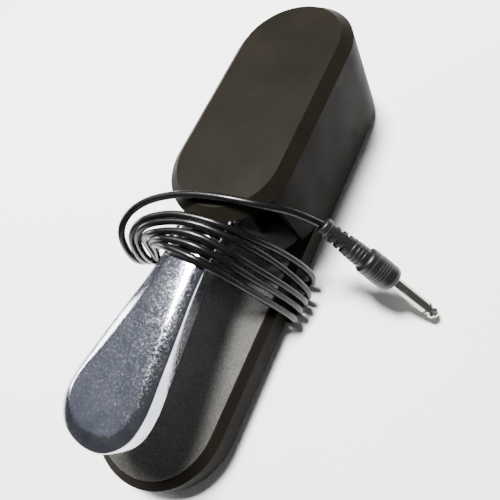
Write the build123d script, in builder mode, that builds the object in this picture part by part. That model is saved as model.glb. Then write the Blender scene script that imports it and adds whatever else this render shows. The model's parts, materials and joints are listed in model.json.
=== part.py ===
from build123d import *
import math
import os

# Piano-style sustain pedal. Millimetres. +Z is up, the toe of the pedal points to -Y and its cable
# leaves the rear at +Y. The origin is on the floor, under the middle of the base.

# ---- driving dimensions -------------------------------------------------------------------------
BASE_LENGTH = 286.0
BASE_WIDTH = 85.2
FOOT_HEIGHT = 5.0
BASE_WALL_TOP = 17.6  # top of the upright side wall of the base, from the floor
DECK_TOP = 20.6  # walking surface of the deck plate
DECK_RADIUS = 36.2
HOOD_FRONT_CENTRE = 23.0  # centre of the hood's rounded front, along Y
HOOD_REAR_CENTRE = 98.8  # centre of the hood's rounded rear at its top
HOOD_SHOULDER = 59.2  # height where the side wall meets the wide bevel
HOOD_TOP = 64.0
HOOD_SHOULDER_RADIUS = 34.5
HOOD_TOP_RADIUS = 28.6
WALL = 2.6

BASE_RADIUS = BASE_WIDTH / 2
BASE_CENTRE = BASE_LENGTH / 2 - BASE_RADIUS  # centre of each rounded end of the base
SIDE_DRAFT = (BASE_RADIUS - HOOD_SHOULDER_RADIUS) / (HOOD_SHOULDER - FOOT_HEIGHT)
BASE_TOP_RADIUS = BASE_RADIUS - SIDE_DRAFT * (BASE_WALL_TOP - FOOT_HEIGHT)
PLATE_THICKNESS = 1.5
FLOOR_IN = FOOT_HEIGHT + PLATE_THICKNESS  # inner face of the bottom plate

LEVER_TILT = 3.0  # degrees that the toe stands higher than the pivot
PIVOT_Y = 62.0
PIVOT_Z = 43.0
LEVER_TOP = 11.2  # top face above the pivot, across the lever
LEVER_DEPTH = 13.0  # from the top face to the foot of the skirt
LEVER_WALL = 2.2
NECK_HALF = 12.6
TAIL_END = 24.0
SHAFT_RADIUS = 3.0
RUNNING_GAP = 0.05

SPRING_Y = 24.0
SWITCH_Y = 44.0
STOP_Y = 12.0
POLARITY_Y = 106.0

CORD_DIAMETER = 3.8
CORD_EXIT_Y = 158.0
CORD_EXIT_Z = 16.0

PARTS_FOLDER = "parts"
os.makedirs(PARTS_FOLDER, exist_ok=True)


def save(piece, name):
    """Label a finished piece and write it as one STEP file."""
    piece.label = name
    export_step(piece, f"{PARTS_FOLDER}/{name}.step")


def stadium(height, radius, front=-BASE_CENTRE, rear=BASE_CENTRE):
    """A level slot outline whose round ends are centred at front and rear, along Y."""
    with BuildSketch(Plane.XY.offset(height), mode=Mode.PRIVATE) as outline:
        with Locations((0, (front + rear) / 2)):
            SlotCenterToCenter(rear - front, 2 * radius, rotation=90)
    return outline.sketch


def mirrored(points):
    """The points and their mirror images across the X = 0 plane."""
    return [(side * x, y) for x, y in points for side in (-1, 1)]


# ---- casing -------------------------------------------------------------------------------------
SCREW_PLACES = mirrored([(35.5, -92), (35.5, 0), (35.5, 92)])
SCREW_RADIUS = 1.5
BOSS_RADIUS = 4.0
BOSS_TOP = 16.6
OPENING_REAR = 8.0  # the hood's front is open ahead of this, under its overhanging bevel
OPENING_FRONT = -35.0
GLAND_HOLE_RADIUS = 4.2
DECK_THICKNESS = 1.6
DECK_REAR = -4.0  # the deck plate ends just inside the hood's open front

with BuildPart() as top_housing:
    # skirt of the base with its bevel, as far as the hood, whose side wall carries on flush with it
    skirt_sections = [
        stadium(FOOT_HEIGHT, BASE_RADIUS, rear=HOOD_FRONT_CENTRE),
        stadium(BASE_WALL_TOP, BASE_TOP_RADIUS, rear=HOOD_FRONT_CENTRE),
        stadium(DECK_TOP - 0.4, DECK_RADIUS + 0.5, rear=HOOD_FRONT_CENTRE),
    ]
    loft(sections=skirt_sections[:2], ruled=True)
    loft(sections=skirt_sections[1:], ruled=True)
    # hood with its wide bevel
    hood_sections = [
        stadium(FOOT_HEIGHT, BASE_RADIUS, HOOD_FRONT_CENTRE, BASE_CENTRE),
        stadium(HOOD_SHOULDER, HOOD_SHOULDER_RADIUS, HOOD_FRONT_CENTRE, HOOD_REAR_CENTRE),
        stadium(HOOD_TOP, HOOD_TOP_RADIUS, HOOD_FRONT_CENTRE, HOOD_REAR_CENTRE),
    ]
    loft(sections=hood_sections[:2], ruled=True)
    loft(sections=hood_sections[1:], ruled=True)
    # hollow under the deck
    loft(
        sections=[
            stadium(FOOT_HEIGHT, BASE_RADIUS - WALL, rear=HOOD_FRONT_CENTRE),
            stadium(BOSS_TOP, BASE_TOP_RADIUS - WALL, rear=HOOD_FRONT_CENTRE),
        ],
        ruled=True,
        mode=Mode.SUBTRACT,
    )
    # hollow of the hood
    inner_sections = [
        stadium(FOOT_HEIGHT, BASE_RADIUS - WALL, HOOD_FRONT_CENTRE, BASE_CENTRE),
        stadium(HOOD_SHOULDER - 1, HOOD_SHOULDER_RADIUS - WALL, HOOD_FRONT_CENTRE, HOOD_REAR_CENTRE),
        stadium(HOOD_TOP - WALL, HOOD_TOP_RADIUS - WALL / 2, HOOD_FRONT_CENTRE, HOOD_REAR_CENTRE),
    ]
    loft(sections=inner_sections[:2], ruled=True, mode=Mode.SUBTRACT)
    loft(sections=inner_sections[1:], ruled=True, mode=Mode.SUBTRACT)
    # recess that the deck plate sits in
    with BuildSketch(Plane.XY.offset(DECK_TOP - DECK_THICKNESS)):
        with Locations((0, 0)):
            SlotCenterToCenter(2 * BASE_CENTRE, 2 * DECK_RADIUS + 0.4, rotation=90)
        with Locations((0, DECK_REAR + 0.2)):
            Rectangle(2 * BASE_WIDTH, 2 * BASE_LENGTH, align=(Align.CENTER, Align.MIN), mode=Mode.SUBTRACT)
    extrude(amount=DECK_THICKNESS, mode=Mode.SUBTRACT)
    # the lever's opening: the whole front of the hood under its bevel
    for foot, head, half_width in (
        (DECK_TOP - 0.4, HOOD_SHOULDER, BASE_WIDTH),
        (DECK_TOP - DECK_THICKNESS, DECK_TOP, DECK_RADIUS),
    ):
        with BuildSketch(Plane.XY.offset(foot)):
            with Locations((0, OPENING_FRONT)):
                Rectangle(2 * half_width, OPENING_REAR - OPENING_FRONT, align=(Align.CENTER, Align.MIN))
        extrude(amount=head - foot, mode=Mode.SUBTRACT)
    # screw bosses
    with BuildSketch(Plane.XY.offset(FLOOR_IN)):
        with Locations(*SCREW_PLACES):
            Circle(BOSS_RADIUS)
    extrude(amount=BOSS_TOP - FLOOR_IN)
    with Locations(*[(x, y, FLOOR_IN) for x, y in SCREW_PLACES]):
        Cylinder(SCREW_RADIUS, 8.0, align=(Align.CENTER, Align.CENTER, Align.MIN), mode=Mode.SUBTRACT)
    # hole for the cable gland
    with BuildSketch(Plane.XZ.offset(-BASE_LENGTH / 2 - 5)):
        with Locations((0, CORD_EXIT_Z)):
            Circle(GLAND_HOLE_RADIUS)
    extrude(amount=20, mode=Mode.SUBTRACT)
save(top_housing.part, "top_housing")

with BuildPart() as deck_plate:
    with BuildSketch(Plane.XY.offset(DECK_TOP - DECK_THICKNESS)):
        SlotCenterToCenter(2 * BASE_CENTRE, 2 * DECK_RADIUS, rotation=90)
        with Locations((0, DECK_REAR)):
            Rectangle(2 * BASE_WIDTH, 2 * BASE_LENGTH, align=(Align.CENTER, Align.MIN), mode=Mode.SUBTRACT)
    extrude(amount=DECK_THICKNESS)
    fillet(deck_plate.edges().group_by(Axis.Z)[-1].filter_by(GeomType.CIRCLE), radius=0.4)
save(deck_plate.part, "deck_plate")

BALLAST_TOP = 14.6
BALLAST_FRONT = -118.0
BALLAST_REAR = -22.0
BALLAST_WIDTH = 56.0
BALLAST_SCREWS = [(0, -104), (0, -48)]
FOOT_PLACES = mirrored([(26, -104), (26, 104), (26, 22)])
FOOT_RADIUS = 9.0
KNOB_SLOT = (11.0, 4.4)

with BuildPart() as bottom_plate:
    with BuildSketch(Plane.XY.offset(FOOT_HEIGHT)):
        SlotCenterToCenter(2 * BASE_CENTRE, 2 * (BASE_RADIUS - WALL - 0.4), rotation=90)
        with Locations((0, POLARITY_Y)):
            Rectangle(*KNOB_SLOT, mode=Mode.SUBTRACT)
    extrude(amount=PLATE_THICKNESS)
    with Locations(*[Location((x, y, FOOT_HEIGHT), (180, 0, 0)) for x, y in SCREW_PLACES + BALLAST_SCREWS]):
        CounterSinkHole(SCREW_RADIUS + 0.1, 2.9, depth=PLATE_THICKNESS, counter_sink_angle=90)
save(bottom_plate.part, "bottom_plate")

with BuildPart() as rubber_feet:
    with BuildSketch():
        with Locations(*FOOT_PLACES):
            Circle(FOOT_RADIUS)
    extrude(amount=FOOT_HEIGHT)
    fillet(rubber_feet.edges().group_by(Axis.Z)[0], radius=1.0)
save(rubber_feet.part, "rubber_feet")

with BuildPart() as ballast_weight:
    with BuildSketch(Plane.XY.offset(FLOOR_IN)):
        with Locations((0, (BALLAST_FRONT + BALLAST_REAR) / 2)):
            RectangleRounded(BALLAST_WIDTH, BALLAST_REAR - BALLAST_FRONT, 6)
    extrude(amount=BALLAST_TOP - FLOOR_IN)
    with Locations(*[(x, y, FLOOR_IN) for x, y in BALLAST_SCREWS]):
        Cylinder(SCREW_RADIUS, 7.0, align=(Align.CENTER, Align.CENTER, Align.MIN), mode=Mode.SUBTRACT)
save(ballast_weight.part, "ballast_weight")


def countersunk_screws(places, length):
    """Countersunk screws driven up from the underside, heads flush with the bottom plate."""
    with BuildPart() as screws:
        with BuildSketch(Plane.XZ, mode=Mode.PRIVATE) as half_profile:
            with BuildLine():
                Polyline(
                    (0, 0.6),
                    (0.9, 0.6),
                    (0.9, 0.05),
                    (2.75, 0.05),
                    (1.42, 1.4),
                    (1.42, length - 1.2),
                    (0.5, length),
                    (0, length),
                    close=True,
                )
            make_face()
        for x, y in places:
            with Locations((x, y, FOOT_HEIGHT)):
                add(revolve(half_profile.sketch, axis=Axis.Z, mode=Mode.PRIVATE))
    return screws.part


save(countersunk_screws(SCREW_PLACES, 9.0), "housing_screws")
save(countersunk_screws(BALLAST_SCREWS, 8.0), "ballast_screws")

# ---- pivot --------------------------------------------------------------------------------------
BRACKET_SHEET = 2.0
BRACKET_INNER = 13.9
BRACKET_LENGTH = 24.0
BRACKET_HEAD = 8.0  # radius of each upright's round head
EAR_RADIUS = 7.0
BUSH_RADIUS = 4.5
BUSH_FLANGE = 6.2
SHAFT_HALF = 17.8
RING_THICKNESS = 0.8
BRACKET_SCREWS = mirrored([(10.5, PIVOT_Y - 8), (10.5, PIVOT_Y + 8)])
BRACKET_OUTER = BRACKET_INNER + BRACKET_SHEET
SIDES = (-1, 1)

with BuildPart() as pivot_bracket:
    with BuildSketch(Plane.XY.offset(FLOOR_IN)):
        with Locations((0, PIVOT_Y)):
            Rectangle(2 * BRACKET_OUTER, BRACKET_LENGTH)
        with Locations(*BRACKET_SCREWS):
            Circle(SCREW_RADIUS + 0.1, mode=Mode.SUBTRACT)
    extrude(amount=BRACKET_SHEET)
    for x_low in (-BRACKET_OUTER, BRACKET_INNER):
        with BuildSketch(Plane.YZ.offset(x_low)):
            with BuildLine():
                Polyline(
                    (PIVOT_Y - BRACKET_HEAD, PIVOT_Z),
                    (PIVOT_Y - BRACKET_LENGTH / 2, FLOOR_IN),
                    (PIVOT_Y + BRACKET_LENGTH / 2, FLOOR_IN),
                    (PIVOT_Y + BRACKET_HEAD, PIVOT_Z),
                    close=True,
                )
            make_face()
            with Locations((PIVOT_Y, PIVOT_Z)):
                Circle(BRACKET_HEAD)
                Circle(SHAFT_RADIUS, mode=Mode.SUBTRACT)
        extrude(amount=BRACKET_SHEET)
save(pivot_bracket.part, "pivot_bracket")

with BuildPart() as pivot_shaft:
    with BuildSketch(Plane.YZ.offset(-SHAFT_HALF)):
        with Locations((PIVOT_Y, PIVOT_Z)):
            Circle(SHAFT_RADIUS)
    extrude(amount=2 * SHAFT_HALF)
    chamfer(pivot_shaft.edges().filter_by(GeomType.CIRCLE), length=0.4)
save(pivot_shaft.part, "pivot_shaft")

with BuildPart() as retaining_rings:
    for x_low in (-BRACKET_OUTER - 0.1 - RING_THICKNESS, BRACKET_OUTER + 0.1):
        with BuildSketch(Plane.YZ.offset(x_low)):
            with Locations((PIVOT_Y, PIVOT_Z)):
                Circle(5.2)
                Circle(SHAFT_RADIUS, mode=Mode.SUBTRACT)
                Rectangle(2.4, 6, align=(Align.CENTER, Align.MIN), mode=Mode.SUBTRACT)
        extrude(amount=RING_THICKNESS)
save(retaining_rings.part, "retaining_rings")

with BuildPart() as lever_bushes:
    for side in SIDES:
        inner_face = side * (NECK_HALF - LEVER_WALL)
        ear_face = side * (NECK_HALF + 0.05)
        with BuildSketch(Plane.YZ.offset(inner_face)):
            with Locations((PIVOT_Y, PIVOT_Z)):
                Circle(BUSH_RADIUS)
                Circle(SHAFT_RADIUS + RUNNING_GAP, mode=Mode.SUBTRACT)
        extrude(amount=side * (LEVER_WALL + 0.2))
        with BuildSketch(Plane.YZ.offset(ear_face)):
            with Locations((PIVOT_Y, PIVOT_Z)):
                Circle(BUSH_FLANGE)
                Circle(SHAFT_RADIUS + RUNNING_GAP, mode=Mode.SUBTRACT)
        extrude(amount=side * 1.05)
save(lever_bushes.part, "lever_bushes")


def raised_screws(places, seat, shank, head_radius=2.7, head_height=1.8):
    """Pan-head screws driven down onto a level seat."""
    with BuildPart() as screws:
        with BuildSketch(Plane.XY.offset(seat)):
            with Locations(*places):
                Circle(head_radius)
        extrude(amount=head_height)
        fillet(screws.edges().group_by(Axis.Z)[-1], radius=0.8)
        with BuildSketch(Plane.XY.offset(seat)):
            with Locations(*places):
                Circle(SCREW_RADIUS)
        extrude(amount=-shank)
    return screws.part


save(raised_screws(BRACKET_SCREWS, FLOOR_IN + BRACKET_SHEET, BRACKET_SHEET), "bracket_screws")

# ---- lever --------------------------------------------------------------------------------------
tilt = math.radians(LEVER_TILT)
LEVER_PLANE = Plane(
    origin=(0, PIVOT_Y, PIVOT_Z), x_dir=(1, 0, 0), z_dir=(0, math.sin(tilt), math.cos(tilt))
)
SKIRT_FOOT = LEVER_TOP - LEVER_DEPTH
BAND_DROP = 2.4  # how far the bands beside the top face slope down to the lever's edge
EDGE_ROLL = 2.0  # radius of the lever's outer edge
FACE_ROLL = 4.0  # radius of the soft crease between the top face and the bands
INNER_ROLL = 3.0
# Half widths (across, along the lever from its pivot) of the edge and of the flat top face.
EDGE_FLANK = [(NECK_HALF, -82), (14.3, -107), (17.4, -127), (20.2, -145), (22.6, -161)]
EDGE_TOE = [(22.6, -161), (20.2, -172.6), (11.8, -181), (0, -183.4)]
FACE_FLANK = [(6.4, -82), (7.0, -107), (9.6, -127), (13.2, -145), (18.6, -161)]
FACE_TOE = [(18.6, -161), (16.6, -171.2), (9.8, -177.6), (0, -179.4)]


def lever_level(height):
    """A plane across the lever at a height above its pivot."""
    return LEVER_PLANE.offset(height)


def lever_outline(flank, toe, tail, inset=0.0):
    """The teardrop outline: straight neck, widening to a blunt round toe."""
    neck = flank[0][0] - inset
    tip = toe[-1][1] + inset
    side = [(x - inset, y) for x, y in flank]
    front = [(x - inset, y + inset * (abs(y) - 161) / 22) for x, y in toe[:-1]] + [(0, tip)]
    with BuildSketch(mode=Mode.PRIVATE) as outline:
        with BuildLine():
            right_side = Spline(*side, tangents=((0, -1), (0, -1)))
            right_front = Spline(*front, tangents=((0, -1), (-1, 0)))
            mirror(right_side, about=Plane.YZ)
            mirror(right_front, about=Plane.YZ)
            Polyline((neck, side[0][1]), (neck, tail - inset), (-neck, tail - inset), (-neck, side[0][1]))
        make_face()
    return outline.sketch


def lever_section(height, outline):
    """An outline of the lever as a face at a height above its pivot."""
    return Sketch() + [lever_level(height) * face for face in outline.faces()]


def edges_at(piece, height):
    """The piece's edges that lie at a height above the lever's pivot."""
    return [
        edge
        for edge in piece.edges()
        if abs((edge.center() - LEVER_PLANE.origin).dot(LEVER_PLANE.z_dir) - height) < 0.05
    ]


LEVER_UP = Axis(origin=(0, PIVOT_Y, PIVOT_Z), direction=LEVER_PLANE.z_dir)

with BuildPart() as lever_hollow:
    with BuildSketch(lever_level(SKIRT_FOOT)):
        add(lever_outline(EDGE_FLANK, EDGE_TOE, TAIL_END, inset=LEVER_WALL))
    extrude(amount=LEVER_DEPTH - LEVER_WALL)
    fillet(lever_hollow.edges().group_by(LEVER_UP)[-1], radius=INNER_ROLL)

with BuildPart() as lever:
    with BuildSketch(lever_level(SKIRT_FOOT)):
        add(lever_outline(EDGE_FLANK, EDGE_TOE, TAIL_END))
    extrude(amount=LEVER_DEPTH - BAND_DROP)
    loft(
        sections=[
            lever_section(LEVER_TOP - BAND_DROP, lever_outline(EDGE_FLANK, EDGE_TOE, TAIL_END)),
            lever_section(LEVER_TOP, lever_outline(FACE_FLANK, FACE_TOE, TAIL_END - 4)),
        ],
        ruled=True,
    )
    fillet(edges_at(lever, LEVER_TOP - BAND_DROP), radius=EDGE_ROLL)
    fillet(edges_at(lever, LEVER_TOP), radius=FACE_ROLL)
    add(lever_hollow.part, mode=Mode.SUBTRACT)
    # ears that reach down to the pivot shaft
    for x_low in (-NECK_HALF, NECK_HALF - LEVER_WALL):
        with BuildSketch(Plane.YZ.offset(x_low)):
            with Locations((PIVOT_Y, PIVOT_Z)):
                Circle(EAR_RADIUS)
                Circle(BUSH_RADIUS, mode=Mode.SUBTRACT)
        extrude(amount=LEVER_WALL)
        with BuildSketch(Plane.YZ.offset(x_low)):
            with Locations((PIVOT_Y, PIVOT_Z)):
                Circle(BUSH_RADIUS)
        extrude(amount=LEVER_WALL, mode=Mode.SUBTRACT)
save(lever.part, "lever")

# ---- pieces on the lever's underside --------------------------------------------------------------
CEILING = LEVER_TOP - LEVER_WALL  # underside of the lever's top wall, above the pivot
PAD_DROP = 2.5
CUP_DROP = 1.5
CUP_RADIUS = 7.0
SPIGOT_RADIUS = 3.6

with BuildPart() as contact_pad:
    with BuildSketch(lever_level(CEILING - PAD_DROP)):
        with Locations((0, SWITCH_Y - PIVOT_Y)):
            Circle(4)
    extrude(amount=PAD_DROP)
save(contact_pad.part, "contact_pad")

with BuildPart() as spring_cup:
    with BuildSketch(lever_level(CEILING - CUP_DROP)):
        with Locations((0, SPRING_Y - PIVOT_Y)):
            Circle(CUP_RADIUS)
    extrude(amount=CUP_DROP)
    with BuildSketch(lever_level(CEILING - CUP_DROP)):
        with Locations((0, SPRING_Y - PIVOT_Y)):
            Circle(SPIGOT_RADIUS)
    extrude(amount=-6, taper=8)
save(spring_cup.part, "spring_cup")

# ---- return spring and stops ----------------------------------------------------------------------
SPRING_FOOT = 20.0
SPRING_HEAD = 52.0
SPRING_RADIUS = 5.6
SPRING_WIRE = 0.75
SPRING_TURNS = 6
SPRING_RISE = SPRING_HEAD - SPRING_FOOT - 2 * SPRING_WIRE - 0.2

with BuildPart() as spring_seat:
    with BuildSketch(Plane.XY.offset(FLOOR_IN)):
        with Locations((0, SPRING_Y)):
            Circle(9)
    extrude(amount=SPRING_FOOT - FLOOR_IN, taper=3)
    with BuildSketch(Plane.XY.offset(SPRING_FOOT)):
        with Locations((0, SPRING_Y)):
            Circle(4.2)
    extrude(amount=8, taper=6)
save(spring_seat.part, "spring_seat")

coil_start = (SPRING_RADIUS, SPRING_Y, SPRING_FOOT + SPRING_WIRE + 0.1)
with BuildPart() as return_spring:
    with BuildLine():
        Helix(
            pitch=SPRING_RISE / SPRING_TURNS,
            height=SPRING_RISE,
            radius=SPRING_RADIUS,
            center=(0, SPRING_Y, coil_start[2]),
        )
    with BuildSketch(Plane(origin=coil_start, z_dir=(0, 1, 0))):
        Circle(SPRING_WIRE)
    sweep(is_frenet=True)
save(return_spring.part, "return_spring")

DOWN_STOP_TOP = 48.3
UP_STOP_TOP = 39.7
STOP_PAD = 3.6

with BuildPart() as down_stop_post:
    with BuildSketch(Plane.XY.offset(FLOOR_IN)):
        with Locations((0, STOP_Y)):
            RectangleRounded(16, 5.5, 2)
    extrude(amount=DOWN_STOP_TOP - STOP_PAD - FLOOR_IN, taper=2)
save(down_stop_post.part, "down_stop_post")

with BuildPart() as down_stop_pad:
    with BuildSketch(Plane.XY.offset(DOWN_STOP_TOP - STOP_PAD)):
        with Locations((0, STOP_Y)):
            RectangleRounded(13, 4.5, 1.5)
    extrude(amount=STOP_PAD)
    fillet(down_stop_pad.edges().group_by(Axis.Z)[-1], radius=1.0)
save(down_stop_pad.part, "down_stop_pad")

TAIL_Y = PIVOT_Y + TAIL_END - 1
with BuildPart() as up_stop_post:
    with BuildSketch(Plane.XY.offset(FLOOR_IN)):
        with Locations((0, TAIL_Y)):
            Rectangle(8, 8)
    extrude(amount=UP_STOP_TOP - STOP_PAD - FLOOR_IN)
save(up_stop_post.part, "up_stop_post")

with BuildPart() as up_stop_pad:
    with BuildSketch(Plane.XY.offset(UP_STOP_TOP - STOP_PAD)):
        with Locations((0, TAIL_Y)):
            RectangleRounded(14, 7, 1.5)
    extrude(amount=STOP_PAD)
save(up_stop_pad.part, "up_stop_pad")

# ---- contact switch and its board -----------------------------------------------------------------
BOARD_BOTTOM = 18.4
BOARD_TOP = 20.0
BOARD_PLACES = mirrored([(15.0, 38.0)])
PLUNGER_RADIUS = 2.2
PLUNGER_TOP = 50.2
PLUNGER_FOOT = 30.0
SWITCH_TOP = 38.0

with BuildPart() as board_posts:
    with BuildSketch(Plane.XY.offset(FLOOR_IN)):
        with Locations(*BOARD_PLACES):
            Circle(3)
            Circle(SCREW_RADIUS, mode=Mode.SUBTRACT)
    extrude(amount=BOARD_BOTTOM - FLOOR_IN)
save(board_posts.part, "board_posts")

with BuildPart() as circuit_board:
    with BuildSketch(Plane.XY.offset(BOARD_BOTTOM)):
        with Locations((0, SWITCH_Y - 1.5)):
            RectangleRounded(37, 14, 1)
        with Locations(*BOARD_PLACES):
            Circle(SCREW_RADIUS + 0.1, mode=Mode.SUBTRACT)
    extrude(amount=BOARD_TOP - BOARD_BOTTOM)
save(circuit_board.part, "circuit_board")

save(raised_screws(BOARD_PLACES, BOARD_TOP, 6.0, head_radius=2.4, head_height=1.5), "board_screws")

with BuildPart() as switch_body:
    with BuildSketch(Plane.XY.offset(BOARD_TOP)):
        with Locations((0, SWITCH_Y)):
            RectangleRounded(12, 10, 0.8)
    extrude(amount=SWITCH_TOP - BOARD_TOP)
    with BuildSketch(Plane.XY.offset(PLUNGER_FOOT - 3)):
        with Locations((0, SWITCH_Y)):
            Circle(PLUNGER_RADIUS + 0.1)
    extrude(amount=SWITCH_TOP - PLUNGER_FOOT + 3, mode=Mode.SUBTRACT)
save(switch_body.part, "switch_body")

with BuildPart() as switch_plunger:
    with BuildSketch(Plane.XY.offset(PLUNGER_FOOT)):
        with Locations((0, SWITCH_Y)):
            Circle(PLUNGER_RADIUS)
    extrude(amount=PLUNGER_TOP - PLUNGER_FOOT)
    fillet(switch_plunger.edges().group_by(Axis.Z)[-1], radius=0.6)
save(switch_plunger.part, "switch_plunger")

# ---- polarity switch ------------------------------------------------------------------------------
KNOB_TRAVEL = 3.0
KNOB_FOOT = 3.6
KNOB_START = -KNOB_TRAVEL / 2
SLIDE_FLOOR = 8.0

with BuildPart() as polarity_body:
    with BuildSketch(Plane.XY.offset(FLOOR_IN)):
        with Locations((0, POLARITY_Y)):
            Rectangle(20, 8.6)
    extrude(amount=7)
    with BuildSketch(Plane.XY.offset(FLOOR_IN)):
        with Locations((0, POLARITY_Y)):
            Rectangle(8.4, 3.6)
    extrude(amount=SLIDE_FLOOR - FLOOR_IN, mode=Mode.SUBTRACT)
    with BuildSketch(Plane.XY.offset(SLIDE_FLOOR)):
        with Locations((0, POLARITY_Y)):
            Rectangle(10.6, 5.4)
    extrude(amount=2.4, mode=Mode.SUBTRACT)
save(polarity_body.part, "polarity_body")

with BuildPart() as polarity_knob:
    with BuildSketch(Plane.XY.offset(KNOB_FOOT)):
        with Locations((KNOB_START, POLARITY_Y)):
            Rectangle(4.4, 3.0)
    extrude(amount=SLIDE_FLOOR + 0.2 - KNOB_FOOT)
    with BuildSketch(Plane.XY.offset(SLIDE_FLOOR + 0.2)):
        with Locations((KNOB_START, POLARITY_Y)):
            Rectangle(6.0, 4.8)
    extrude(amount=1.8)
save(polarity_knob.part, "polarity_knob")

# ---- cable inside the hood ------------------------------------------------------------------------
INNER_CORD_END = 114.0
GLAND_INNER_FACE = 133.0
CLAMP_Y = 121.0
WIRE_RADIUS = 0.6

with BuildPart() as inner_cord:
    with BuildSketch(Plane.XZ.offset(-GLAND_INNER_FACE)):
        with Locations((0, CORD_EXIT_Z)):
            Circle(CORD_DIAMETER / 2)
    extrude(amount=GLAND_INNER_FACE - INNER_CORD_END)
save(inner_cord.part, "inner_cord")

with BuildPart() as cord_clamp:
    with BuildSketch(Plane.XZ.offset(-CLAMP_Y - 3)):
        with Locations((0, FLOOR_IN)):
            Rectangle(18, CORD_EXIT_Z + 3.6 - FLOOR_IN, align=(Align.CENTER, Align.MIN))
        with Locations((0, CORD_EXIT_Z)):
            Circle(CORD_DIAMETER / 2, mode=Mode.SUBTRACT)
    extrude(amount=6)
    chamfer(cord_clamp.edges().group_by(Axis.Z)[-1].filter_by(Axis.Y), length=3)
save(cord_clamp.part, "cord_clamp")

with BuildPart() as lead_wires:
    for side in SIDES:
        with BuildLine():
            FilletPolyline(
                (side * 1.0, INNER_CORD_END, CORD_EXIT_Z),
                (side * 1.2, INNER_CORD_END - 6, CORD_EXIT_Z),
                (side * 7.0, INNER_CORD_END - 18, 14.0),
                (side * 7.0, 47.0, 14.0),
                (side * 7.0, 47.0, BOARD_BOTTOM),
                radius=2.0,
            )
        with BuildSketch(Plane.XZ.offset(-INNER_CORD_END)):
            with Locations((side * 1.0, CORD_EXIT_Z)):
                Circle(WIRE_RADIUS)
        sweep(transition=Transition.ROUND)
save(lead_wires.part, "lead_wires")

# ---- cord -----------------------------------------------------------------------------------------
CORD_RADIUS = CORD_DIAMETER / 2
GLAND_AXIS = Axis(origin=(0, 0, CORD_EXIT_Z), direction=(0, 1, 0))

with BuildPart() as cord_gland:
    with BuildSketch(Plane(origin=(0, 0, CORD_EXIT_Z), x_dir=(0, 1, 0), z_dir=(1, 0, 0))):
        with BuildLine():
            Polyline(
                (GLAND_INNER_FACE, 0),
                (GLAND_INNER_FACE, GLAND_HOLE_RADIUS),
                (134.2, GLAND_HOLE_RADIUS),
                (134.2, 6.2),
                (136.4, 6.2),
                (136.4, GLAND_HOLE_RADIUS),
                (142.1, GLAND_HOLE_RADIUS),
                (142.1, 5.6),
                (143.6, 5.6),
                (143.6, 4.0),
                (CORD_EXIT_Y, 2.9),
                (CORD_EXIT_Y, 0),
                close=True,
            )
        make_face()
    revolve(axis=GLAND_AXIS)
save(cord_gland.part, "cord_gland")

# Route of the free cord, by hand: from the gland round the rear left corner, forward on the floor.
LEAD_ROUTE = [
    (0.0, CORD_EXIT_Y, CORD_EXIT_Z),
    (-0.8, 171.0, 14.8),
    (-8.0, 182.5, 9.6),
    (-22.0, 188.0, 4.4),
    (-38.0, 182.0, 2.4),
    (-48.0, 167.0, 2.3),
    (-51.0, 144.0, 2.3),
    (-49.5, 112.0, 2.3),
    (-51.0, 76.0, 2.3),
    (-49.6, 44.0, 2.6),
    (-50.4, 22.0, 4.0),
    (-49.0, 5.0, 8.5),
    (-48.3, -12.8, 14.0),
]
# From the last turn over the front edge of the hood and down to the plug.
PLUG_HEEL = (52.9, 8.9, 45.0)
PLUG_NOSE = (110.6, -3.8, 3.6)
TAIL_ROUTE = [
    (-39.0, -21.5, 61.0),
    (-30.5, -13.4, 65.4),
    (-16.0, -5.6, 67.0),
    (1.0, -1.6, 67.3),
    (16.5, 0.3, 66.8),
    (31.0, 3.0, 62.5),
    (42.0, 7.6, 54.0),
    PLUG_HEEL,
]


def corner_radii(route):
    """For each inner point, 0.45 of its shorter run over the tangent of half the turn."""
    radii = []
    for before, here, after in zip(route, route[1:], route[2:]):
        run_in = Vector(*here) - Vector(*before)
        run_out = Vector(*after) - Vector(*here)
        half_turn = math.radians(run_in.get_angle(run_out)) / 2
        radii.append(0.45 * min(run_in.length, run_out.length) / math.tan(half_turn))
    return radii


def cord_tube(route, name):
    """One round tube of straight runs joined by tangent arcs along a route."""
    radii = corner_radii(route)
    with BuildPart() as tube:
        with BuildLine() as path:
            FilletPolyline(*route, radius=radii)
        with BuildSketch(Plane(origin=route[0], z_dir=path.line % 0)):
            Circle(CORD_RADIUS)
        sweep()
    length = sum(edge.length for edge in path.edges())
    ratio = tube.part.volume / (math.pi * CORD_RADIUS**2 * length)
    print(name, "radii", [round(radius, 1) for radius in radii])
    print(name, "length", round(length, 1), "volume over section times length", round(ratio, 4))
    return tube.part


save(cord_tube(LEAD_ROUTE, "cord_lead"), "cord_lead")
save(cord_tube(TAIL_ROUTE, "cord_tail"), "cord_tail")

# The cord wound round the lever's neck and under the base, as one closed band.
BAND_FRONT = -38.5
BAND_REAR_LEFT = -14.0
BAND_REAR_RIGHT = -4.0

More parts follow.
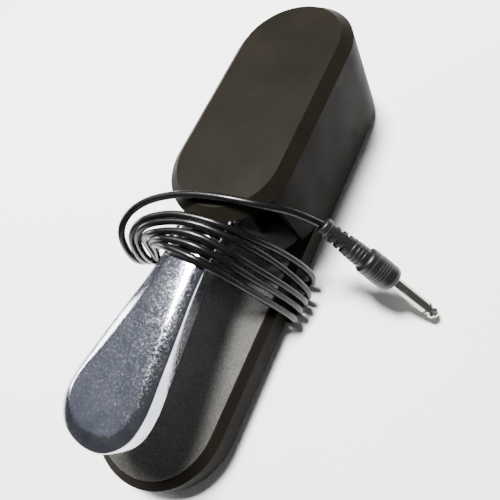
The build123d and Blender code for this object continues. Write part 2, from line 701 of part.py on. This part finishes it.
with BuildPart() as cord_winding:
    with BuildSketch(Plane.XZ.offset(-BAND_REAR_RIGHT)):
        with BuildLine() as outer_line:
            Polyline(
                (-46, 0.3),
                (47, 0.3),
                (53.5, 5),
                (53.5, 15),
                (46, 38),
                (30, 59),
                (14, 65.4),
                (-22, 66.4),
                (-41, 63),
                (-52.5, 50),
                (-54.5, 27),
                (-52, 5),
                close=True,
            )
        make_face()
        fillet(outer_line.vertices(), radius=2.5)
        with BuildLine():
            Polyline(
                (-43.8, 4.75), (43.8, 4.75), (43.8, 18), (16.5, 59.9), (-16.5, 59.9), (-43.8, 18), close=True
            )
        make_face(mode=Mode.SUBTRACT)
    extrude(amount=BAND_REAR_RIGHT - BAND_FRONT)
    with BuildSketch():
        with BuildLine():
            Polyline(
                (-60, BAND_FRONT),
                (60, BAND_FRONT),
                (60, BAND_REAR_RIGHT),
                (46, BAND_REAR_RIGHT),
                (18, BAND_REAR_LEFT),
                (-60, BAND_REAR_LEFT),
                close=True,
            )
        make_face()
    extrude(amount=HOOD_TOP + 10, mode=Mode.INTERSECT)
save(cord_winding.part, "cord_winding")

# ---- plug -----------------------------------------------------------------------------------------
plug_vector = Vector(*PLUG_NOSE) - Vector(*PLUG_HEEL)
PLUG_LENGTH = plug_vector.length
PLUG_AXIS = Axis(origin=PLUG_HEEL, direction=plug_vector)
RELIEF_LENGTH = 26.0
BARREL_LENGTH = 18.0
SLEEVE_RADIUS = 3.175
TIP_LENGTH = 6.4
INSULATOR_LENGTH = 1.2
BARREL_START = RELIEF_LENGTH
SLEEVE_START = BARREL_START + BARREL_LENGTH
INSULATOR_START = PLUG_LENGTH - TIP_LENGTH - INSULATOR_LENGTH
TIP_START = PLUG_LENGTH - TIP_LENGTH
PLUG_SECTION = Plane(origin=PLUG_HEEL, x_dir=plug_vector, z_dir=plug_vector.cross(Vector(0, 0, 1)))


def turned(outline):
    """A round piece on the plug's axis, from (distance along it, radius) points."""
    start = (outline[0][0], 0)
    end = (outline[-1][0], 0)
    with BuildPart() as piece:
        with BuildSketch(PLUG_SECTION):
            with BuildLine():
                Polyline(start, *outline, end, close=True)
            make_face()
        revolve(axis=PLUG_AXIS)
    return piece.part


save(
    turned([(0, 3.3), (0.8, 4.1), (4.0, 4.3), (5.0, 4.0), (RELIEF_LENGTH - 8, 5.2), (RELIEF_LENGTH, 5.4)]),
    "plug_relief",
)
save(
    turned(
        [
            (BARREL_START, 6.2),
            (BARREL_START + 0.8, 6.75),
            (SLEEVE_START - 2.4, 6.75),
            (SLEEVE_START - 0.7, 6.1),
            (SLEEVE_START, 5.0),
        ]
    ),
    "plug_barrel",
)
save(turned([(SLEEVE_START, SLEEVE_RADIUS), (INSULATOR_START, SLEEVE_RADIUS)]), "plug_sleeve")
save(turned([(INSULATOR_START, SLEEVE_RADIUS), (TIP_START, SLEEVE_RADIUS)]), "plug_insulator")
save(
    turned(
        [
            (TIP_START, 2.9),
            (TIP_START + 0.8, 2.9),
            (TIP_START + 1.9, 2.25),
            (TIP_START + 3.4, 3.1),
            (TIP_START + 4.4, 3.0),
            (TIP_START + 5.7, 2.0),
            (PLUG_LENGTH, 0.8),
        ]
    ),
    "plug_tip",
)
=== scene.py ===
import json
import math

import bmesh
import bpy
import numpy as np
from mathutils import Matrix, Vector


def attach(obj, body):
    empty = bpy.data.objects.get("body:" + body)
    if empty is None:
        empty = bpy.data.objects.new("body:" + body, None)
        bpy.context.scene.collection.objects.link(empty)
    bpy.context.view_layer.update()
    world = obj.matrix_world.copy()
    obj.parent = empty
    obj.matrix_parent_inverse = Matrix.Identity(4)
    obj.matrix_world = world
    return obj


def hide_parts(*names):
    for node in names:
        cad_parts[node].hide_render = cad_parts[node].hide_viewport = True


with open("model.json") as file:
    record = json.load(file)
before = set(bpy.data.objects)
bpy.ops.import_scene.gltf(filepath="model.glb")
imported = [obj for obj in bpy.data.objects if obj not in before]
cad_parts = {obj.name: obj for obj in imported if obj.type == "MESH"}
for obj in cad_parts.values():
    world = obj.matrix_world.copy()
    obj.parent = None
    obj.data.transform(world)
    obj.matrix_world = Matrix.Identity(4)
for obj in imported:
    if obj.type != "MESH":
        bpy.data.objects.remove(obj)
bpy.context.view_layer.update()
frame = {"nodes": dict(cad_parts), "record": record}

MM = 0.001

# ---- camera: above the right side of the toe, rolled, with a wide lens ----------------------------
CAMERA_AZIMUTH = math.radians(62.5)
CAMERA_ELEVATION = math.radians(59.5)
CAMERA_ROLL = math.radians(40.2)
CAMERA_DISTANCE = 223.8 * MM
CAMERA_TARGET = Vector((3.3, -2.9, 5.0)) * MM
CAMERA_LENS = 26.07


def make_camera():
    away = Vector(
        (
            math.cos(CAMERA_ELEVATION) * math.sin(CAMERA_AZIMUTH),
            -math.cos(CAMERA_ELEVATION) * math.cos(CAMERA_AZIMUTH),
            math.sin(CAMERA_ELEVATION),
        )
    )
    level = Vector((math.cos(CAMERA_AZIMUTH), math.sin(CAMERA_AZIMUTH), 0))
    upright = away.cross(level)
    right = level * math.cos(CAMERA_ROLL) - upright * math.sin(CAMERA_ROLL)
    up = away.cross(right)
    data = bpy.data.cameras.new("camera")
    data.lens = CAMERA_LENS
    data.sensor_width = 36
    data.clip_start = 0.01
    camera = bpy.data.objects.new("camera", data)
    bpy.context.collection.objects.link(camera)
    turn = Matrix((right, up, away)).transposed().to_4x4()
    camera.matrix_world = Matrix.Translation(CAMERA_TARGET + away * CAMERA_DISTANCE) @ turn
    bpy.context.scene.camera = camera


make_camera()

# ---- cord -----------------------------------------------------------------------------------------
CORD_DIAMETER = 3.8
# Millimetres, the free cord's route: from the gland round the rear corner, forward on the floor.
LEAD_ROUTE = [
    (0.0, 158.0, 16.0),
    (-0.8, 171.0, 14.8),
    (-8.0, 182.5, 9.6),
    (-22.0, 188.0, 4.4),
    (-38.0, 182.0, 2.4),
    (-48.0, 167.0, 2.3),
    (-51.0, 144.0, 2.3),
    (-49.5, 112.0, 2.3),
    (-51.0, 76.0, 2.3),
    (-49.6, 44.0, 2.6),
    (-50.4, 22.0, 4.0),
    (-49.0, 5.0, 8.5),
]
# The turns, one by one: up the left side, over the lever's neck, down the right side and back under
# the base. The first is tight on the neck and the fifth is the loosest.
TURNS = [
    [
        (-48.0, -12.0, 14.0),
        (-41.0, -24.5, 27.0),
        (-32.0, -29.0, 42.0),
        (-23.0, -30.0, 55.0),
        (-12.0, -30.2, 62.2),
        (0.0, -30.3, 62.4),
        (11.0, -30.8, 61.8),
        (22.0, -31.6, 52.5),
        (31.0, -31.9, 39.5),
        (39.5, -31.8, 27.0),
        (47.8, -32.2, 14.0),
        (47.6, -32.8, 6.6),
        (42.6, -33.0, 2.3),
        (30.0, -33.2, 2.3),
        (10.0, -34.0, 2.3),
        (-12.0, -35.0, 2.3),
        (-33.0, -35.3, 2.3),
        (-43.7, -34.5, 2.3),
        (-48.5, -33.0, 7.0),
    ],
    [
        (-49.0, -31.0, 14.5),
        (-41.0, -28.5, 29.0),
        (-32.5, -28.3, 43.0),
        (-25.5, -28.8, 55.0),
        (-15.5, -27.8, 62.6),
        (-4.0, -25.3, 62.6),
        (9.0, -25.2, 62.0),
        (21.5, -25.6, 53.5),
        (31.5, -26.2, 40.5),
        (40.0, -25.9, 27.8),
        (48.8, -26.6, 14.0),
        (48.4, -27.4, 6.6),
        (43.4, -28.0, 2.3),
        (31.0, -28.4, 2.3),
        (12.0, -29.0, 2.3),
        (-13.0, -30.0, 2.3),
        (-34.0, -31.0, 2.3),
        (-44.0, -31.4, 2.3),
        (-49.3, -31.5, 7.0),
    ],
    [
        (-50.5, -31.5, 14.5),
        (-43.2, -30.2, 29.5),
        (-36.5, -29.3, 44.0),
        (-30.8, -28.6, 55.0),
        (-21.5, -26.6, 62.6),
        (-9.0, -21.3, 62.6),
        (6.0, -19.8, 62.3),
        (20.0, -20.8, 55.0),
        (30.5, -21.0, 42.0),
        (40.5, -20.8, 28.5),
        (49.8, -21.5, 14.3),
        (49.2, -22.6, 6.6),
        (44.2, -23.2, 2.3),
        (32.0, -23.8, 2.3),
        (12.0, -25.0, 2.3),
        (-12.0, -26.4, 2.3),
        (-34.0, -27.8, 2.3),
        (-44.3, -28.4, 2.3),
        (-49.8, -30.0, 7.0),
    ],
    [
        (-51.3, -33.8, 14.5),
        (-45.0, -34.8, 30.0),
        (-39.2, -32.9, 44.5),
        (-35.0, -29.0, 56.0),
        (-26.5, -23.0, 62.8),
        (-13.0, -17.0, 62.5),
        (2.0, -14.6, 62.3),
        (17.0, -14.4, 57.0),
        (28.0, -13.2, 45.5),
        (38.8, -13.4, 30.2),
        (49.6, -16.2, 14.8),
        (49.6, -18.4, 6.8),
        (44.4, -19.2, 2.3),
        (32.0, -19.8, 2.3),
        (12.0, -21.0, 2.3),
        (-12.0, -23.0, 2.3),
        (-34.0, -25.0, 2.3),
        (-44.6, -26.4, 2.3),
        (-50.4, -29.5, 7.0),
    ],
    [
        (-52.4, -34.5, 15.0),
        (-46.7, -37.3, 30.5),
        (-41.3, -34.7, 45.5),
        (-38.5, -29.7, 56.0),
        (-31.0, -21.7, 62.8),
        (-17.5, -14.0, 62.6),
        (-3.0, -11.7, 62.2),
        (13.0, -10.8, 60.0),
        (25.0, -9.2, 49.0),
        (36.3, -6.5, 33.5),
        (48.2, -6.9, 16.4),
        (48.8, -9.6, 7.0),
        (44.2, -11.6, 2.3),
        (32.0, -12.8, 2.3),
        (12.0, -15.0, 2.3),
        (-12.0, -18.0, 2.3),
        (-34.0, -21.0, 2.3),
        (-45.0, -23.4, 2.3),
        (-51.4, -27.5, 7.0),
    ],
]
# Up the left side once more, over the front edge of the hood and down to the plug.
TAIL_ROUTE = [
    (-54.3, -35.0, 15.0),
    (-50.0, -39.2, 30.0),
    (-45.6, -37.2, 45.0),
    (-44.8, -32.0, 56.5),
    (-41.5, -22.8, 63.0),
    (-32.0, -12.8, 66.0),
    (-16.0, -5.2, 67.2),
    (1.0, -1.4, 67.4),
    (16.5, 0.4, 66.8),
    (31.0, 3.2, 62.6),
    (42.0, 7.8, 54.0),
    (52.9, 8.9, 45.0),
]


def nurbs_line(name, points, radius):
    """A tube along the points. They carry its radius, since Blender widens a curve's box by theirs."""
    data = bpy.data.curves.new(name, "CURVE")
    data.dimensions = "3D"
    spline = data.splines.new("NURBS")
    spline.points.add(len(points) - 1)
    for place, point in zip(spline.points, points):
        place.co = (*(value * MM for value in point), 1.0)
        place.radius = radius * MM
    spline.order_u = 3
    spline.use_endpoint_u = True
    spline.resolution_u = 8
    data.bevel_depth = 1.0
    data.bevel_resolution = 5
    data.use_fill_caps = True
    line = bpy.data.objects.new(name, data)
    bpy.context.collection.objects.link(line)
    return line


cord_route = [*LEAD_ROUTE, *(point for turn in TURNS for point in turn), *TAIL_ROUTE]
cord = nurbs_line("cord", cord_route, CORD_DIAMETER / 2)
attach(cord, "casing")
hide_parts("cord_lead", "cord_winding", "cord_tail")


# ---- plug's moulded body --------------------------------------------------------------------------
PLUG_HEEL = Vector(TAIL_ROUTE[-1]) * MM
PLUG_NOSE = Vector((110.6, -3.8, 3.6)) * MM
# Outlines are (distance from the heel, radius) in millimetres.
RELIEF_LENGTH = 26.0
BARREL_LENGTH = 18.0
RELIEF_OUTLINE = [(0, 2.2), (0.05, 3.9), (0.7, 4.5), (3.1, 4.5), (3.5, 4.1), (17.5, 5.0), (26.0, 5.3)]
BARREL_OUTLINE = [
    (26.0, 5.0),
    (26.1, 6.1),
    (27.0, 6.75),
    (41.2, 6.75),
    (43.0, 6.2),
    (43.9, 5.0),
    (44.0, 3.1),
]
SLOT_STARTS = [4.6, 8.4, 12.2]
SLOT_WIDTH = 2.0
SLOT_DEPTH = 1.3
SLOT_HALF_ANGLE = 0.95
RELIEF_RINGS = [17.0, 19.4, 21.4, 23.4]
RELIEF_RING_WIDTH = 0.45
RELIEF_RING_HEIGHT = 0.22
BARREL_RINGS = [29.2, 32.6, 34.0, 35.4, 36.8]
BARREL_RING_WIDTH = 0.4
BARREL_RING_HEIGHT = 0.16


def edge_step(value, low, high, soft=0.12):
    """1 between low and high, 0 outside, with a short slope at both ends."""
    return min(1, max(0, (value - low) / soft + 0.5)) * min(1, max(0, (high - value) / soft + 0.5))


def outline_radius(outline, along):
    for (start, inner), (end, outer) in zip(outline, outline[1:]):
        if along <= end:
            return inner + (outer - inner) * max(0, along - start) / (end - start)
    return outline[-1][1]


def relief_radius(along, angle):
    """Slots cut the relief on two opposite sides, with rings after them."""
    radius = outline_radius(RELIEF_OUTLINE, along)
    side = min(abs(angle), abs(abs(angle) - math.pi))
    for start in SLOT_STARTS:
        cut = edge_step(along, start, start + SLOT_WIDTH)
        radius -= SLOT_DEPTH * cut * edge_step(side, -1, SLOT_HALF_ANGLE, 0.2)
    for ring in RELIEF_RINGS:
        radius += RELIEF_RING_HEIGHT * edge_step(along, ring, ring + RELIEF_RING_WIDTH)
    return radius


def barrel_radius(along, angle):
    radius = outline_radius(BARREL_OUTLINE, along)
    for ring in BARREL_RINGS:
        radius += BARREL_RING_HEIGHT * edge_step(along, ring, ring + BARREL_RING_WIDTH)
    return radius


def round_skin(name, start, end, radius_at, around=96, step=0.15):
    """A dense round skin on the plug's axis; radius_at gives its radius at a distance and an angle."""
    axis = (PLUG_NOSE - PLUG_HEEL).normalized()
    side = axis.cross(Vector((0, 0, 1))).normalized()
    up = side.cross(axis)
    rows = int((end - start) / step)
    shape = bmesh.new()
    rings = []
    for row in range(rows + 1):
        along = start + (end - start) * row / rows
        ring = []
        for column in range(around):
            angle = 2 * math.pi * column / around - math.pi
            radius = radius_at(along, angle)
            across = side * math.cos(angle) + up * math.sin(angle)
            ring.append(shape.verts.new(PLUG_HEEL + (axis * along + across * radius) * MM))
        rings.append(ring)
    for lower, upper in zip(rings, rings[1:]):
        for column in range(around):
            after = (column + 1) % around
            shape.faces.new((lower[column], lower[after], upper[after], upper[column]))
    shape.faces.new(reversed(rings[0]))
    shape.faces.new(rings[-1])
    bmesh.ops.recalc_face_normals(shape, faces=shape.faces)
    for face in shape.faces:
        face.smooth = len(face.verts) == 4
    data = bpy.data.meshes.new(name)
    shape.to_mesh(data)
    shape.free()
    skin = bpy.data.objects.new(name, data)
    bpy.context.collection.objects.link(skin)
    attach(skin, "casing")
    return skin


relief_skin = round_skin("relief_skin", 0, RELIEF_LENGTH, relief_radius)
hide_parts("plug_relief")
barrel_skin = round_skin("barrel_skin", RELIEF_LENGTH, RELIEF_LENGTH + BARREL_LENGTH, barrel_radius)
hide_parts("plug_barrel")


# ---- lever ----------------------------------------------------------------------------------------
# Lengths along the lever are from its pivot, heights above it, both in the lever's own tilted frame.
LEVER_PIVOT = Vector((0, 62, 43)) * MM
LEVER_TILT = math.radians(3.0)
LEVER_TOP = 11.2
LEVER_FOOT = LEVER_TOP - 13.0
LEVER_WALL = 2.2
# The face sinks by its crown towards its edge, and the band round it drops further to the rolled edge.
FACE_CROWN = 0.25
BAND_DROP = 2.4
EDGE_ROLL = 2.0
ROLL_START = math.radians(44)
NECK_HALF = 12.6
TAIL_END = 24.0
EAR_OUTER = 7.0
EAR_INNER = 4.5
EAR_COLUMNS = 64
TOE_HEART = -160.0
# Half of the lever from above, (across, along), from the tail to the toe.
EDGE_SIDE = [
    (NECK_HALF, TAIL_END),
    (NECK_HALF, -30),
    (NECK_HALF, -64),
    (12.7, -84),
    (14.3, -107),
    (17.4, -127),
    (20.2, -145),
    (22.4, -161),
    (20.4, -172.6),
    (12.2, -180.8),
    (0, -183.4),
]
FACE_SIDE = [
    (6.4, TAIL_END - 4),
    (6.4, -30),
    (6.4, -64),
    (6.5, -84),
    (7.1, -107),
    (9.7, -127),
    (13.3, -145),
    (17.2, -160),
    (15.6, -169.6),
    (9.2, -175.6),
    (0, -177.6),
]


def between(p, q, r, w, t):
    """A Catmull-Rom curve's value between q and r, with p before them and w after."""
    square = (2 * p - 5 * q + 4 * r - w) * t**2
    cube = (3 * q - p - 3 * r + w) * t**3
    return 0.5 * (2 * q + (r - p) * t + square + cube)


def smooth_side(side, samples=12):
    """A smooth curve through the points of one side of the lever, from its tail to its toe."""
    tail, tip = side[0], side[-1]
    padded = [(tail[0], tail[1] + 10), *side, (-side[-2][0], side[-2][1])]
    curve = []
    for a, b, c, d in zip(padded, padded[1:], padded[2:], padded[3:]):
        for sample in range(samples):
            t = sample / samples
            curve.append(tuple(between(p, q, r, w, t) for p, q, r, w in zip(a, b, c, d)))
    return [*curve, tip]


def closed_outline(side):
    right = smooth_side(side)
    left = [(-x, y) for x, y in reversed(right[:-1])]
    tail = [(side[0][0] * share, side[0][1]) for share in (-0.6, -0.2, 0.2, 0.6)]
    return [np.array(point) for point in [*right, *left, *tail]]


def lever_place(across, along, height):
    lean = Vector((0, along * math.cos(LEVER_TILT) + height * math.sin(LEVER_TILT), 0))
    rise = Vector((0, 0, height * math.cos(LEVER_TILT) - along * math.sin(LEVER_TILT)))
    return LEVER_PIVOT + (Vector((across, 0, 0)) + lean + rise) * MM


def lever_rings():
    """Rings of (across, along, height): the top face outwards, down the skirt and up the inside."""
    face = closed_outline(FACE_SIDE)
    edge = closed_outline(EDGE_SIDE)
    out = [(e - f) / np.linalg.norm(e - f) for e, f in zip(edge, face)]
    crest = [e - n * EDGE_ROLL * (1 - math.sin(ROLL_START)) for e, n in zip(edge, out)]

    def inward(points, share):
        heart = [np.array((0, min(max(p[1], TOE_HEART), TAIL_END - 10))) for p in points]
        return [h + (p - h) * share for h, p in zip(heart, points)]

    rings = []
    for share in (0, 0.25, 0.5, 0.75, 0.9):
        rings.append((inward(face, share), LEVER_TOP - FACE_CROWN * share**2))
    for share in np.linspace(0, 1, 13):
        points = [f + (c - f) * share for f, c in zip(face, crest)]
        rings.append((points, LEVER_TOP - FACE_CROWN - (BAND_DROP - FACE_CROWN) * share**1.5))
    middle = LEVER_TOP - BAND_DROP - EDGE_ROLL * math.cos(ROLL_START)
    for angle in np.linspace(ROLL_START, math.pi / 2, 8)[1:]:
        points = [e - n * EDGE_ROLL * (1 - math.sin(angle)) for e, n in zip(edge, out)]
        rings.append((points, middle + EDGE_ROLL * math.cos(angle)))
    for height in np.linspace(middle, LEVER_FOOT + 0.5, 8)[1:]:
        rings.append((edge, height))
    for inset, lift in ((0.12, 0.2), (0.45, 0), (LEVER_WALL - 0.4, 0), (LEVER_WALL, 0.4)):
        rings.append(([e - n * inset for e, n in zip(edge, out)], LEVER_FOOT + lift))
    ceiling = LEVER_TOP - FACE_CROWN - LEVER_WALL
    inner = [e - n * LEVER_WALL for e, n in zip(edge, out)]
    rings.append((inner, ceiling - 4))
    rings.append(([e - n * (LEVER_WALL + 1) for e, n in zip(edge, out)], ceiling - 2))
    rings += [(inward(face, share), ceiling) for share in (0.9, 0.45, 0)]
    return rings


def add_ear(shape, outer, inner):
    """A flat eye round the pivot, between two distances from the middle."""
    loops = []
    for across, radius in ((outer, EAR_OUTER), (outer, EAR_INNER), (inner, EAR_INNER), (inner, EAR_OUTER)):
        loop = []
        for column in range(EAR_COLUMNS):
            angle = 2 * math.pi * column / EAR_COLUMNS
            place = lever_place(across, radius * math.cos(angle), radius * math.sin(angle))
            loop.append(shape.verts.new(place))
        loops.append(loop)
    for loop, following in zip(loops, loops[1:] + loops[:1]):
        for column in range(EAR_COLUMNS):
            after = (column + 1) % EAR_COLUMNS
            shape.faces.new((loop[column], loop[after], following[after], following[column]))


def make_lever():
    shape = bmesh.new()
    loops = [
        [shape.verts.new(lever_place(float(p[0]), float(p[1]), float(height))) for p in points]
        for points, height in lever_rings()
    ]
    for loop, following in zip(loops, loops[1:]):
        for column in range(len(loop)):
            after = (column + 1) % len(loop)
            shape.faces.new((loop[column], loop[after], following[after], following[column]))
    bmesh.ops.remove_doubles(shape, verts=shape.verts, dist=1e-6)
    add_ear(shape, NECK_HALF, NECK_HALF - LEVER_WALL)
    add_ear(shape, -NECK_HALF, LEVER_WALL - NECK_HALF)
    bmesh.ops.recalc_face_normals(shape, faces=shape.faces)
    for face in shape.faces:
        face.smooth = True
    data = bpy.data.meshes.new("lever_skin")
    shape.to_mesh(data)
    shape.free()
    skin = bpy.data.objects.new("lever_skin", data)
    bpy.context.collection.objects.link(skin)
    return skin


lever_skin = make_lever()
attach(lever_skin, "lever")
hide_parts("lever")


# ---- materials ------------------------------------------------------------------------------------
class Nodes:
    """A material's node tree with short ways to add and join nodes."""

    def __init__(self, name):
        self.material = bpy.data.materials.new(name)
        self.material.use_nodes = True
        self.tree = self.material.node_tree
        self.shader = self.tree.nodes["Principled BSDF"]

    def add(self, kind, **settings):
        node = self.tree.nodes.new(kind)
        for key, value in settings.items():
            if key in node.inputs:
                node.inputs[key].default_value = value
            else:
                setattr(node, key, value)
        return node

    def join(self, source, target):
        self.tree.links.new(source, target)

    def set(self, **values):
        for key, value in values.items():
            self.shader.inputs[key.replace("_", " ")].default_value = value

    def place(self):
        """Object coordinates in metres."""
        return self.add("ShaderNodeTexCoord").outputs["Object"]

    def noise(self, scale, detail=3.0, rough=0.5, vector=None):
        node = self.add("ShaderNodeTexNoise")
        node.inputs["Scale"].default_value = scale
        node.inputs["Detail"].default_value = detail
        node.inputs["Roughness"].default_value = rough
        self.join(vector or self.place(), node.inputs["Vector"])
        return node.outputs["Fac"]

    def ramp(self, source, stops):
        node = self.add("ShaderNodeValToRGB")
        elements = node.color_ramp.elements
        while len(elements) < len(stops):
            elements.new(0.5)
        for element, (position, colour) in zip(elements, stops):
            element.position = position
            element.color = (*colour, 1.0)
        self.join(source, node.inputs["Fac"])
        return node.outputs["Color"]

    def spread(self, source, low, high, source_low=0.3, source_high=0.7):
        node = self.add("ShaderNodeMapRange")
        node.inputs["From Min"].default_value = source_low
        node.inputs["From Max"].default_value = source_high
        node.inputs["To Min"].default_value = low
        node.inputs["To Max"].default_value = high
        self.join(source, node.inputs["Value"])
        return node.outputs["Result"]

    def bump(self, height, distance, strength=1.0, after=None):
        node = self.add("ShaderNodeBump")
        node.inputs["Distance"].default_value = distance
        node.inputs["Strength"].default_value = strength
        self.join(height, node.inputs["Height"])
        if after is not None:
            self.join(after, node.inputs["Normal"])
        return node.outputs["Normal"]


def moulded(name, dark, light, rough_low, rough_high, grain=1400, grain_depth=0.00006, specular=0.5):
    """Moulded plastic or rubber: fine grain, slight unevenness of tone and of gloss."""
    n = Nodes(name)
    n.join(n.ramp(n.noise(35), [(0.3, dark), (0.75, light)]), n.shader.inputs["Base Color"])
    n.join(n.spread(n.noise(60, 5), rough_low, rough_high), n.shader.inputs["Roughness"])
    n.join(n.bump(n.noise(grain, 2), grain_depth), n.shader.inputs["Normal"])
    n.set(Specular_IOR_Level=specular)
    return n.material


def metal(name, colour, rough_low, rough_high, scratch=0.00001, scale=900):
    """Plain metal: uneven tone and gloss, with fine scratches."""
    n = Nodes(name)
    tint = [c * 0.92 for c in colour]
    n.join(n.ramp(n.noise(80), [(0.3, tint), (0.7, colour)]), n.shader.inputs["Base Color"])
    n.join(n.spread(n.noise(240, 6, 0.65), rough_low, rough_high), n.shader.inputs["Roughness"])
    n.join(n.bump(n.noise(scale, 4), scratch), n.shader.inputs["Normal"])
    n.set(Metallic=1.0)
    return n.material


def sandy_deck():
    """Satin grey paint over a sandy grain."""
    n = Nodes("deck_grey")
    speck = n.noise(2600, 2, 0.7)
    stops = [(0.3, (0.012, 0.0115, 0.01)), (0.55, (0.03, 0.029, 0.026)), (0.75, (0.11, 0.107, 0.097))]
    n.join(n.ramp(speck, stops), n.shader.inputs["Base Color"])
    n.join(n.spread(n.noise(90, 4), 0.34, 0.5), n.shader.inputs["Roughness"])
    n.join(n.bump(speck, 0.0002), n.shader.inputs["Normal"])
    n.set(Metallic=0.2, Specular_IOR_Level=0.35)
    return n.material


# Layers of scratches on the chrome: direction in radians and fineness; each is this much longer than wide.
SCRATCH_LAYERS = [(0.5, 3600), (1.3, 4600), (-0.7, 4200), (2.2, 3200)]
SCRATCH_STRETCH = 18


def worn_chrome():
    """Polished chrome with fine crossing scratches and a few rubbed patches."""
    n = Nodes("lever_chrome")
    stops = [(0.3, (0.4, 0.42, 0.5)), (0.7, (0.62, 0.63, 0.69))]
    n.join(n.ramp(n.noise(120, 4), stops), n.shader.inputs["Base Color"])
    n.join(n.spread(n.noise(900, 8, 0.75), 0.04, 0.26, 0.4, 0.7), n.shader.inputs["Roughness"])
    normal = None
    for turn, fine in SCRATCH_LAYERS:
        mapping = n.add("ShaderNodeMapping")
        mapping.inputs["Rotation"].default_value = (0, 0, turn)
        mapping.inputs["Scale"].default_value = (fine, fine / SCRATCH_STRETCH, fine / SCRATCH_STRETCH)
        n.join(n.place(), mapping.inputs["Vector"])
        normal = n.bump(n.noise(1, 4, 0.6, mapping.outputs["Vector"]), 0.00003, 0.5, normal)
    n.join(normal, n.shader.inputs["Normal"])
    n.set(Metallic=1.0)
    return n.material


materials = {
    "housing_black": moulded(
        "housing_black", (0.006, 0.0051, 0.0038), (0.0095, 0.008, 0.0058), 0.46, 0.56, specular=0.025
    ),
    "deck_grey": sandy_deck(),
    "lever_chrome": worn_chrome(),
    "steel_plate": metal("steel_plate", (0.42, 0.42, 0.42), 0.3, 0.45),
    "iron": moulded("iron", (0.08, 0.08, 0.08), (0.12, 0.12, 0.12), 0.5, 0.7),
    "screw_steel": metal("screw_steel", (0.5, 0.5, 0.5), 0.22, 0.36),
    "rubber_black": moulded("rubber_black", (0.012, 0.012, 0.012), (0.022, 0.022, 0.021), 0.6, 0.8),
    "nylon_white": moulded("nylon_white", (0.5, 0.49, 0.44), (0.62, 0.6, 0.54), 0.35, 0.45),
    "black_plastic": moulded("black_plastic", (0.01, 0.01, 0.01), (0.018, 0.018, 0.018), 0.4, 0.5),
    "spring_steel": metal("spring_steel", (0.45, 0.45, 0.47), 0.2, 0.3),
    "board_green": moulded("board_green", (0.015, 0.1, 0.04), (0.025, 0.14, 0.065), 0.3, 0.4),
    "switch_red": moulded("switch_red", (0.26, 0.018, 0.016), (0.34, 0.032, 0.025), 0.3, 0.4),
    "cord_black": moulded(
        "cord_black", (0.002, 0.002, 0.002), (0.0045, 0.0043, 0.004), 0.22, 0.32, specular=0.4
    ),
    "plug_black": moulded(
        "plug_black", (0.004, 0.004, 0.0043), (0.008, 0.008, 0.0084), 0.34, 0.46, specular=0.4
    ),
    "plug_nickel": metal("plug_nickel", (0.52, 0.51, 0.45), 0.12, 0.24),
    "wire_jacket": moulded("wire_jacket", (0.26, 0.025, 0.018), (0.34, 0.04, 0.025), 0.3, 0.4),
}


def dress(piece, slot):
    piece.data.materials.clear()
    piece.data.materials.append(materials[slot])


dress(cord, "cord_black")
dress(lever_skin, "lever_chrome")
for skin in (relief_skin, barrel_skin):
    dress(skin, "plug_black")
for subpart in frame["record"]["subparts"]:
    node = frame["nodes"][subpart["node"]]
    for place in node.material_slots:
        place.material = materials[subpart["material_slot"]]

# ---- studio ---------------------------------------------------------------------------------------
FLOOR_SIZE = 4
SUN_COLOUR = (1.0, 0.99, 0.98)
SKY_COLOUR = (0.78, 0.85, 1.0)
WORLD_COLOUR = (0.95, 0.96, 1.0, 1)
WORLD_STRENGTH = 0.12


def make_floor():
    bpy.ops.mesh.primitive_plane_add(size=FLOOR_SIZE, location=(0, 0, 0))
    floor = bpy.context.object
    floor.name = "floor"
    n = Nodes("floor")
    stops = [(0.3, (0.9, 0.9, 0.9)), (0.7, (0.93, 0.93, 0.93))]
    n.join(n.ramp(n.noise(3), stops), n.shader.inputs["Base Color"])
    n.set(Roughness=0.8)
    floor.data.materials.append(n.material)


def area_light(name, place, size, power, colour):
    """A rectangular light that faces the origin."""
    data = bpy.data.lights.new(name, "AREA")
    data.shape = "RECTANGLE"
    data.size = size[0]
    data.size_y = size[1]
    data.energy = power
    data.color = colour
    lamp = bpy.data.objects.new(name, data)
    bpy.context.collection.objects.link(lamp)
    lamp.location = place
    lamp.rotation_mode = "QUATERNION"
    lamp.rotation_quaternion = (-Vector(place)).to_track_quat("-Z", "Y")


make_floor()
area_light("key", (-0.3, 0.28, 1.12), (0.28, 0.28), 72, SUN_COLOUR)
area_light("side", (-1.1, -0.2, 0.42), (0.5, 0.35), 9, SUN_COLOUR)
area_light("panel", (-0.7, 0.05, 1.0), (1.1, 0.6), 0.4, SKY_COLOUR)
world = bpy.data.worlds.new("studio")
world.use_nodes = True
world.node_tree.nodes["Background"].inputs["Color"].default_value = WORLD_COLOUR
world.node_tree.nodes["Background"].inputs["Strength"].default_value = WORLD_STRENGTH
bpy.context.scene.world = world
